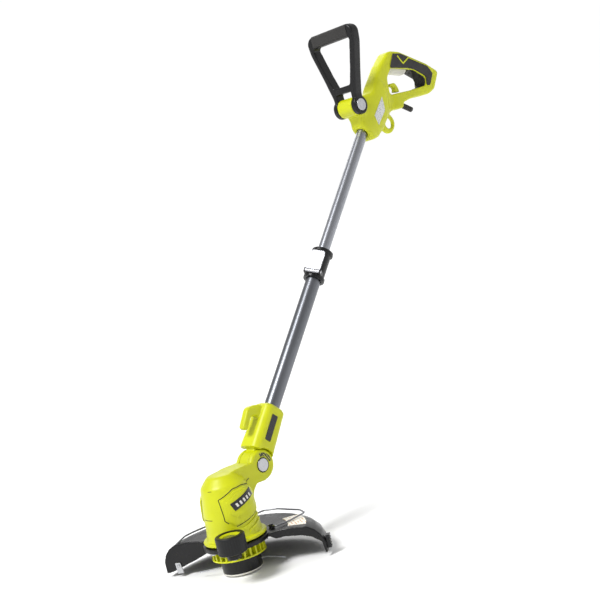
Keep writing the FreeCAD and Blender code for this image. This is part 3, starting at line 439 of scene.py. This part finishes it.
# %% Pads that follow the skin
class Skin:
    """Finds the outer surface of a piece from the side."""

    def __init__(self, *pieces):
        verts, faces = [], []
        for piece in pieces:
            start = len(verts)
            verts += [v.co.copy() for v in piece.data.vertices]
            faces += [[start + i for i in f.vertices] for f in piece.data.polygons]
        self.tree = BVHTree.FromPolygons(verts, faces)

    def side(self, y, z, sign):
        place, normal, _, _ = self.tree.ray_cast(Vector((sign * 0.2, y, z)), Vector((-sign, 0, 0)))
        return place, normal

    def near(self, point):
        place, normal, _, _ = self.tree.find_nearest(Vector(point))
        return place, normal


def row_span(outline, z):
    """Least and greatest y of a convex outline at one height."""
    crossings = []
    for (y0, z0), (y1, z1) in zip(outline, outline[1:] + outline[:1]):
        if min(z0, z1) <= z <= max(z0, z1) and abs(z1 - z0) > 1e-9:
            crossings.append(y0 + (y1 - y0) * (z - z0) / (z1 - z0))
    return min(crossings), max(crossings)


def pad_mesh(name, skin, outline, lift, sign=1, step=0.0015):
    """Grid over a convex (y, z) outline in metres, lifted off the skin and skirted back into it."""
    heights = [p[1] for p in outline]
    low, high = min(heights) + 1e-5, max(heights) - 1e-5
    rows = max(2, round((high - low) / step))
    wide = max(p[0] for p in outline) - min(p[0] for p in outline)
    columns = max(2, round(wide / step))
    grid = []
    for r in range(rows + 1):
        z = low + (high - low) * r / rows
        y0, y1 = row_span(outline, z)
        line = []
        for c in range(columns + 1):
            place, normal = skin.side(y0 + (y1 - y0) * c / columns, z, sign)
            line.append((place, normal))
        grid.append(line)
    return sheet_mesh(name, grid, lift, sign > 0)


def sheet_mesh(name, grid, lift, forwards=True):
    """Closed sheet over a grid of places and normals, lifted off the skin with its rim sunk in it."""
    mesh = bmesh.new()
    rows, columns = len(grid) - 1, len(grid[0]) - 1
    verts = [[mesh.verts.new(p + n * lift) for p, n in line] for line in grid]
    for r in range(rows):
        for c in range(columns):
            loop = [verts[r][c], verts[r][c + 1], verts[r + 1][c + 1], verts[r + 1][c]]
            mesh.faces.new(loop if forwards else loop[::-1])
    border = [(0, c) for c in range(columns)] + [(r, columns) for r in range(rows)]
    border += [(rows, c) for c in range(columns, 0, -1)] + [(r, 0) for r in range(rows, 0, -1)]
    under = {}
    for r, c in border:
        p, n = grid[r][c]
        under[r, c] = mesh.verts.new(p - n * 0.001)
    for a, b in zip(border, border[1:] + border[:1]):
        loop = [verts[a[0]][a[1]], under[a], under[b], verts[b[0]][b[1]]]
        mesh.faces.new(loop if forwards else loop[::-1])
    mesh.faces.new([under[k] for k in (border[::-1] if forwards else border)])
    bmesh.ops.recalc_face_normals(mesh, faces=mesh.faces)
    data = bpy.data.meshes.new(name)
    mesh.to_mesh(data)
    mesh.free()
    return data


def pad(name, skin, outline, lift, body, material, sign=1, step=0.0015, bevel=0.0):
    piece = placed(name, pad_mesh(name, skin, outline, lift, sign, step), body, material)
    if bevel:
        rim = piece.modifiers.new("rim", "BEVEL")
        rim.width = bevel
        rim.segments = 3
        rim.limit_method = "ANGLE"
        rim.angle_limit = math.radians(50)
        mesh = bpy.data.meshes.new_from_object(piece.evaluated_get(bpy.context.evaluated_depsgraph_get()))
        piece.modifiers.clear()
        piece.data = mesh
    return piece


def millimetres(points):
    return [(y / 1000, z / 1000) for y, z in points]


head_skin = Skin(head)
panel_outline = millimetres([(8, 147), (29, 142), (35, 132), (34, 114), (27, 101), (-23, 91), (-32, 101),
                             (-31, 135), (-10, 146)])
inner_outline = millimetres([(8, 143), (25, 140), (31, 131), (29, 118), (-18, 104), (-27, 112), (-27, 131),
                             (-8, 142)])
badge_outline = millimetres([(-23, 127), (19, 141), (23, 128), (-19, 114)])
for sign, side in ((1, "left"), (-1, "right")):
    for panel, outline, lift, bevel in (("side", panel_outline, 0.0026, 0.0011),
                                        ("inner", inner_outline, 0.0042, 0.0009)):
        pad(f"{panel}_panel_{side}", head_skin, outline, lift, "head", lime, sign,
            bevel=bevel)
    for number, (foot_z, tip_z, start, end) in enumerate(((80, 95, -26, 30), (76, 86, -4, 32))):
        bar = millimetres([(start, foot_z), (end, tip_z), (end + 1, tip_z - 3.5), (start + 1, foot_z - 3.5)])
        pad(f"brow_{side}_{number}", head_skin, bar, 0.0018, "head", lime, sign, bevel=0.0006)
badge = pad("blank_badge", head_skin, badge_outline, 0.0050, "head", black_film)
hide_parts("head_badge")
print("pads on the motor housing done")

# %% [markdown]
# The badge and the strip on the clamp are left without any name. A plain row of light bars on the badge
# keeps the bright-on-black look. Geometry Nodes place them: one small block is repeated at even steps
# along a line, and each size is an input with a name.


# %% A tree that repeats a block round a ring or along a line
def tree_of(name, sizes):
    """Empty geometry tree with named size inputs; returns the tree, its input and output nodes."""
    tree = bpy.data.node_groups.new(name, "GeometryNodeTree")
    tree.interface.new_socket("Geometry", in_out="INPUT", socket_type="NodeSocketGeometry")
    for size_name, kind in sizes.items():
        tree.interface.new_socket(size_name, in_out="INPUT", socket_type=kind)
    tree.interface.new_socket("Material", in_out="INPUT", socket_type="NodeSocketMaterial")
    tree.interface.new_socket("Geometry", in_out="OUTPUT", socket_type="NodeSocketGeometry")
    return tree, tree.nodes.new("NodeGroupInput"), tree.nodes.new("NodeGroupOutput")


def join_end(tree, inputs, output, instances, with_base):
    """Realize, add the base if wanted, set the material and end the tree."""
    real = tree.nodes.new("GeometryNodeRealizeInstances")
    tree.links.new(instances, real.inputs["Geometry"])
    last = real.outputs["Geometry"]
    if with_base:
        join = tree.nodes.new("GeometryNodeJoinGeometry")
        tree.links.new(last, join.inputs["Geometry"])
        tree.links.new(inputs.outputs["Geometry"], join.inputs["Geometry"])
        last = join.outputs["Geometry"]
    paint = tree.nodes.new("GeometryNodeSetMaterial")
    tree.links.new(last, paint.inputs["Geometry"])
    tree.links.new(inputs.outputs["Material"], paint.inputs["Material"])
    tree.links.new(paint.outputs["Geometry"], output.inputs["Geometry"])


def ribs_tree():
    """Upright ribs standing round a ring, joined to the base mesh."""
    number = "NodeSocketFloat"
    tree, inputs, output = tree_of("ring_of_ribs", {
        "Count": "NodeSocketInt", "Ring Radius": number, "Rib Depth": number, "Rib Width": number,
        "Rib Height": number})
    ring = tree.nodes.new("GeometryNodeMeshCircle")
    tree.links.new(inputs.outputs["Count"], ring.inputs["Vertices"])
    tree.links.new(inputs.outputs["Ring Radius"], ring.inputs["Radius"])
    size = tree.nodes.new("ShaderNodeCombineXYZ")
    for axis, socket in (("X", "Rib Depth"), ("Y", "Rib Width"), ("Z", "Rib Height")):
        tree.links.new(inputs.outputs[socket], size.inputs[axis])
    rib = tree.nodes.new("GeometryNodeMeshCube")
    tree.links.new(size.outputs["Vector"], rib.inputs["Size"])
    outwards = tree.nodes.new("FunctionNodeAlignRotationToVector")
    outwards.axis = "X"
    place = tree.nodes.new("GeometryNodeInputPosition")
    tree.links.new(place.outputs["Position"], outwards.inputs["Vector"])
    repeat = tree.nodes.new("GeometryNodeInstanceOnPoints")
    tree.links.new(ring.outputs["Mesh"], repeat.inputs["Points"])
    tree.links.new(rib.outputs["Mesh"], repeat.inputs["Instance"])
    tree.links.new(outwards.outputs["Rotation"], repeat.inputs["Rotation"])
    join_end(tree, inputs, output, repeat.outputs["Instances"], True)
    return tree


def scatter_tree():
    """A cube of the Block size, turned by Turn, repeated at every point of the line from start to end."""
    tree, inputs, output = tree_of("row_of_blocks", {
        "Count": "NodeSocketInt", "Start": "NodeSocketVector", "End": "NodeSocketVector",
        "Block": "NodeSocketVector", "Turn": "NodeSocketVector"})
    row = tree.nodes.new("GeometryNodeMeshLine")
    row.mode = "END_POINTS"
    tree.links.new(inputs.outputs["Count"], row.inputs["Count"])
    tree.links.new(inputs.outputs["Start"], row.inputs["Start Location"])
    tree.links.new(inputs.outputs["End"], row.inputs["Offset"])
    block = tree.nodes.new("GeometryNodeMeshCube")
    tree.links.new(inputs.outputs["Block"], block.inputs["Size"])
    repeat = tree.nodes.new("GeometryNodeInstanceOnPoints")
    tree.links.new(row.outputs["Mesh"], repeat.inputs["Points"])
    tree.links.new(block.outputs["Mesh"], repeat.inputs["Instance"])
    to_turn = tree.nodes.new("FunctionNodeEulerToRotation")
    tree.links.new(inputs.outputs["Turn"], to_turn.inputs["Euler"])
    tree.links.new(to_turn.outputs["Rotation"], repeat.inputs["Rotation"])
    join_end(tree, inputs, output, repeat.outputs["Instances"], False)
    return tree


def grown(name, base, tree, material, **sizes):
    """Run a tree on a base mesh with these sizes and keep the plain mesh."""
    holder = bpy.data.objects.new(name, base)
    bpy.context.scene.collection.objects.link(holder)
    modifier = holder.modifiers.new("grow", "NODES")
    modifier.node_group = tree
    values = dict(sizes, Material=material)
    for item in tree.interface.items_tree:
        key = item.name.replace(" ", "_")
        if item.in_out == "INPUT" and key in values:
            modifier[item.identifier] = values[key]
    finished(holder)
    mesh = holder.data
    bpy.data.objects.remove(holder)
    print(name, len(mesh.polygons), "faces")
    return mesh


ring_of_ribs = ribs_tree()
row_of_blocks = scatter_tree()


def shifted(mesh, x, y, z):
    mesh.transform(Matrix.Translation((x, y, z)))
    return mesh


# %% Light bars on the badge
bar_row = grown("badge_bars", bpy.data.meshes.new("none"), row_of_blocks, pale, Count=5,
                Start=(0.0415, -0.0135, 0.1225), End=(0.0415, 0.0135, 0.1305), Block=(0.008, 0.0034, 0.0062),
                Turn=(math.radians(16), 0, 0))
for vertex in bar_row.vertices:
    place, normal = head_skin.side(vertex.co.y, vertex.co.z, 1)
    vertex.co = place + normal * (0.0054 if vertex.co.x > 0.0415 else 0.001)
placed("badge_bars", bar_row, "head", pale, smooth=False)

# %% [markdown]
# The little wheel has a soft tyre with upright ribs and a hub in the housing's colour. The ribs are
# one block repeated round a ring; the same tree, with other sizes, gives the spool housing its
# finger ribs.

# %% Tyre ribs and spool ribs
tyre_low, tyre_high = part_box("wheel_tyre")
wheel_centre = [(a + b) / 2 for a, b in zip(tyre_low, tyre_high)]
tyre_radius = (tyre_high[0] - tyre_low[0]) / 2
rim_tyre = merged_copy(["wheel_tyre"])
tyre_base = bpy.data.meshes.new("tyre_base")
rim_tyre.to_mesh(tyre_base)
rim_tyre.free()
shifted(tyre_base, -wheel_centre[0], -wheel_centre[1], -wheel_centre[2])
ribbed = grown("ribbed_tyre", tyre_base, ring_of_ribs, tread, Count=32, Ring_Radius=tyre_radius - 0.0009,
               Rib_Depth=0.0018, Rib_Width=0.0022, Rib_Height=(tyre_high[2] - tyre_low[2]) * 0.8)
tyre = placed("ribbed_tyre", shifted(ribbed, *wheel_centre), "wheel", tread, smooth=False)
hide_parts("wheel_tyre")

cup_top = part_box("spool_housing")[1][2]
cup_radius = 0.0345
finger_ribs = grown("spool_finger_ribs", bpy.data.meshes.new("none"), ring_of_ribs, black, Count=40,
                    Ring_Radius=cup_radius - 0.0001, Rib_Depth=0.0012, Rib_Width=0.0014, Rib_Height=0.010)
placed("spool_finger_ribs", shifted(finger_ribs, 0, 0, cup_top - 0.0062), "rotor", black,
       smooth=False)

# %% [markdown]
# The round pivot button sits in a dark ring, with a short scale beside it that shows the angle of the
# head. The scale is a curved strip of dark film with plain marks.


# %% Ring and scale round the pivot button
def arc_plate(name, centre, inner, outer, start, end, x0, x1, segments=28):
    """Flat plate in the side plane between two radii and two angles, closed all round."""
    mesh = bmesh.new()
    whole = end - start >= 359.9
    count = segments if whole else segments + 1
    rings = []
    for i in range(count):
        a = math.radians(start + (end - start) * i / segments)
        y, z = math.cos(a), math.sin(a)
        corners = ((x0, inner), (x1, inner), (x1, outer), (x0, outer))
        rings.append([mesh.verts.new((x, centre[0] + r * y, centre[1] + r * z)) for x, r in corners])
    pairs = list(zip(rings, rings[1:])) + ([(rings[-1], rings[0])] if whole else [])
    for a, b in pairs:
        for k in range(4):
            mesh.faces.new([a[k], a[(k + 1) % 4], b[(k + 1) % 4], b[k]])
    if not whole:
        mesh.faces.new(rings[0][::-1])
        mesh.faces.new(rings[-1])
    bmesh.ops.recalc_face_normals(mesh, faces=mesh.faces)
    data = bpy.data.meshes.new(name)
    mesh.to_mesh(data)
    mesh.free()
    return data


button_low, button_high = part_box("pivot_button")
button_centre = ((button_low[1] + button_high[1]) / 2, (button_low[2] + button_high[2]) / 2)
button_radius = (button_high[1] - button_low[1]) / 2
ear_face = button_high[0] - 0.0012
ring_mesh = arc_plate("button_ring", button_centre, button_radius + 0.0003, button_radius + 0.0016, 0, 360,
                      ear_face - 0.002, ear_face + 0.0003, 64)
placed("button_ring", ring_mesh, "head", black, smooth=False)
scale_mesh = arc_plate("angle_scale", button_centre, button_radius + 0.0030, button_radius + 0.0095, 5, 100,
                       ear_face - 0.0035, ear_face + 0.0001)
angle_film = printed("angle_film", linear(20, 20, 18), linear(170, 176, 60), (0, 0.9, 0.5), 0.004,
                     cover=0.02)
placed("angle_scale", scale_mesh, "head", angle_film, smooth=False)

# %% [markdown]
# The rear grip is a dark soft cover with a thin line of the housing's colour let into it: down, up in
# a V just behind the trigger, then back along the top of the grip. Narrow pads dropped onto the
# covers follow their roundness.

# %% Coloured lines let into the grip
grip_skin = Skin(rear, left_grip, right_grip)
rear_skin = Skin(rear)
plate_outline = millimetres([(601, 749), (603, 722), (575, 696), (567, 715)])
plate = pad("type_plate", rear_skin, plate_outline, 0.0006, "handle", grey_film, bevel=0.0002)
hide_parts("rating_plate")

loop_centre = Vector((0, 0.700, 0.773))
lining_grid = []
for across in np.linspace(-0.0125, 0.0125, 19):
    row = []
    for turn in np.linspace(math.radians(-22), math.radians(60), 60):
        start = loop_centre + Vector((across, 0, 0))
        place, normal, _, _ = rear_skin.tree.ray_cast(start, Vector((0, math.cos(turn), math.sin(turn))))
        row.append((place, normal))
    lining_grid.append(row)
placed("loop_lining", sheet_mesh("loop_lining", lining_grid, 0.0005), "handle", rubber)


def strip_outline(start, end, width):
    """Four corners, in metres, of a straight strip between two (y, z) points in millimetres."""
    (y0, z0), (y1, z1) = start, end
    length = math.hypot(y1 - y0, z1 - z0)
    dy, dz = (z1 - z0) / length * width / 2, -(y1 - y0) / length * width / 2
    return millimetres([(y0 + dy, z0 + dz), (y1 + dy, z1 + dz), (y1 - dy, z1 - dz), (y0 - dy, z0 - dz)])


stripes = [((677, 826), (690, 809), 2.8), ((689.5, 809), (711, 820), 2.6), ((710, 820), (771, 796), 1.6)]
for sign, side in ((1, "left"), (-1, "right")):
    for number, (start, end, width) in enumerate(stripes):
        pad(f"grip_line_{side}_{number}", grip_skin, strip_outline(start, end, width), 0.0006, "handle",
            lime, sign, 0.0008)
print("lines in the grip done")

# %% [markdown]
# Parting lines and the shadow gap beside the side panel are narrow grooves. Cutting them would need a
# much finer mesh, so each is a thin cord of painted shade, the lime darkened as it looks inside a groove,
# pressed almost flush into the skin.


# %% Grooves in the motor housing
def groove(name, skin, points, radius, body, side=0, sink=0.5):
    """Line of painted shade along points in millimetres, laid on the skin; (y, z) points are dropped from a
    side.
    """
    curve = bpy.data.curves.new(name, "CURVE")
    curve.dimensions = "3D"
    curve.bevel_depth = radius
    curve.bevel_resolution = 2
    curve.use_fill_caps = True
    path = []
    for a, b in zip(points, points[1:]):
        steps = max(2, round((Vector(b) - Vector(a)).length / 2))
        for i in range(steps):
            target = (Vector(a) + (Vector(b) - Vector(a)) * i / steps) / 1000
            place, normal = skin.side(*target, side) if side else skin.near(target)
            path.append(place - normal * radius * sink)
    spline = curve.splines.new("POLY")
    spline.points.add(len(path) - 1)
    for point, place in zip(spline.points, path):
        point.co = (*place, 1.0)
    holder = bpy.data.objects.new(name, curve)
    bpy.context.scene.collection.objects.link(holder)
    bpy.context.view_layer.update()
    mesh = bpy.data.meshes.new_from_object(holder.evaluated_get(bpy.context.evaluated_depsgraph_get()))
    bpy.data.objects.remove(holder)
    return placed(name, mesh, body, painted_groove_shade)


for sign, side in ((1, "left"), (-1, "right")):
    line = [(41, 150), (30, 145), (8, 150), (-12, 149), (-34, 137), (-35, 101), (-30, 94)]
    groove("panel_gap_" + side, head_skin, line, 0.0010, "head", sign)
    foot = [(-22, 88), (28, 98), (37, 113)]
    groove("panel_foot_" + side, head_skin, foot, 0.0007, "head", sign)
groove("front_slit", head_skin, [(-16, -45, 105), (-4, -47, 104.5), (9, -46, 104.5)], 0.0007, "head")
groove("top_slit", head_skin, [(6, -41, 153), (16, -38, 153)], 0.0006, "head")
print("grooves done")

# %% [markdown]
# The stage is a plain pale floor under a sky that is brighter at the horizon and that the camera
# sees as white. A broad sun shines from the upper front, and one lamp behind edges the dark handle.

# %% Floor and light
bpy.ops.mesh.primitive_plane_add(size=60)
floor = bpy.context.object
floor.name = "studio_floor"
floor_material, floor_tree, floor_surface = new_material("pale_floor")
floor_place = floor_tree.nodes.new("ShaderNodeTexCoord").outputs["Object"]
floor_tone = mixed(floor_tree, noise(floor_tree, floor_place, 1.5), [0.93, 0.93, 0.93], [0.95, 0.95, 0.95])
floor_tree.links.new(floor_tone, floor_surface.inputs["Base Color"])
floor_surface.inputs["Roughness"].default_value = 0.9
dress(floor, floor_material)

scene = bpy.context.scene
scene.view_settings.view_transform = "Standard"
world = bpy.data.worlds.new("white_sky")
world.use_nodes = True
sky = world.node_tree
heading = sky.nodes.new("ShaderNodeTexCoord").outputs["Generated"]
split = sky.nodes.new("ShaderNodeSeparateXYZ")
sky.links.new(heading, split.inputs["Vector"])
seen = sky.nodes.new("ShaderNodeLightPath").outputs["Is Camera Ray"]
glow = sky.nodes.new("ShaderNodeMix")
sky.links.new(seen, glow.inputs["Factor"])
sky.links.new(spread(sky, split.outputs["Z"], 0.10, 0.75, 0.92, 0.48), glow.inputs["A"])
glow.inputs["B"].default_value = 1.02
sky.links.new(glow.outputs["Result"], sky.nodes["Background"].inputs["Strength"])
sky.nodes["Background"].inputs["Color"].default_value = (1, 1, 1, 1)
scene.world = world
middle = Vector([(a + b) / 2 for a, b in zip(*cad_box)])


def soft_lamp(name, place, size, power):
    data = bpy.data.lights.new(name, "AREA")
    data.size = size
    data.energy = power
    lamp = bpy.data.objects.new(name, data)
    scene.collection.objects.link(lamp)
    lamp.location = place
    lamp.rotation_euler = (middle - Vector(place)).to_track_quat("-Z", "Y").to_euler()


def sun(name, place, angle, strength):
    data = bpy.data.lights.new(name, "SUN")
    data.angle = math.radians(angle)
    data.energy = strength
    lamp = bpy.data.objects.new(name, data)
    scene.collection.objects.link(lamp)
    lamp.rotation_euler = Vector(place).to_track_quat("Z", "Y").to_euler()


sun("key", (-0.05, -1.0, 1.3), 20, 2.9)
soft_lamp("edge", (-1.6, 1.4, 1.8), 1.2, 10)

# %% [markdown]
# The camera stands low at the front and to the machine's left, and is rolled a little so that the
# shaft runs up the middle of the picture.

# %% Camera
azimuth, elevation, roll = (math.radians(v) for v in (46.855, 4.595, -13.496))
back = Vector((math.sin(azimuth) * math.cos(elevation), -math.cos(azimuth) * math.cos(elevation),
               math.sin(elevation)))
level = Vector((0, 0, 1)).cross(back).normalized()
upright = back.cross(level)
picture_right = level * math.cos(roll) + upright * math.sin(roll)
picture_up = upright * math.cos(roll) - level * math.sin(roll)
camera_data = bpy.data.cameras.new("camera")
camera_data.lens = 69.0
camera_data.sensor_width = 36.0
camera = bpy.data.objects.new("camera", camera_data)
scene.collection.objects.link(camera)
camera.matrix_world = Matrix.Translation((1.5294, -1.1604, 0.5786)) @ Matrix(
    (picture_right, picture_up, back)).transposed().to_4x4()
scene.camera = camera
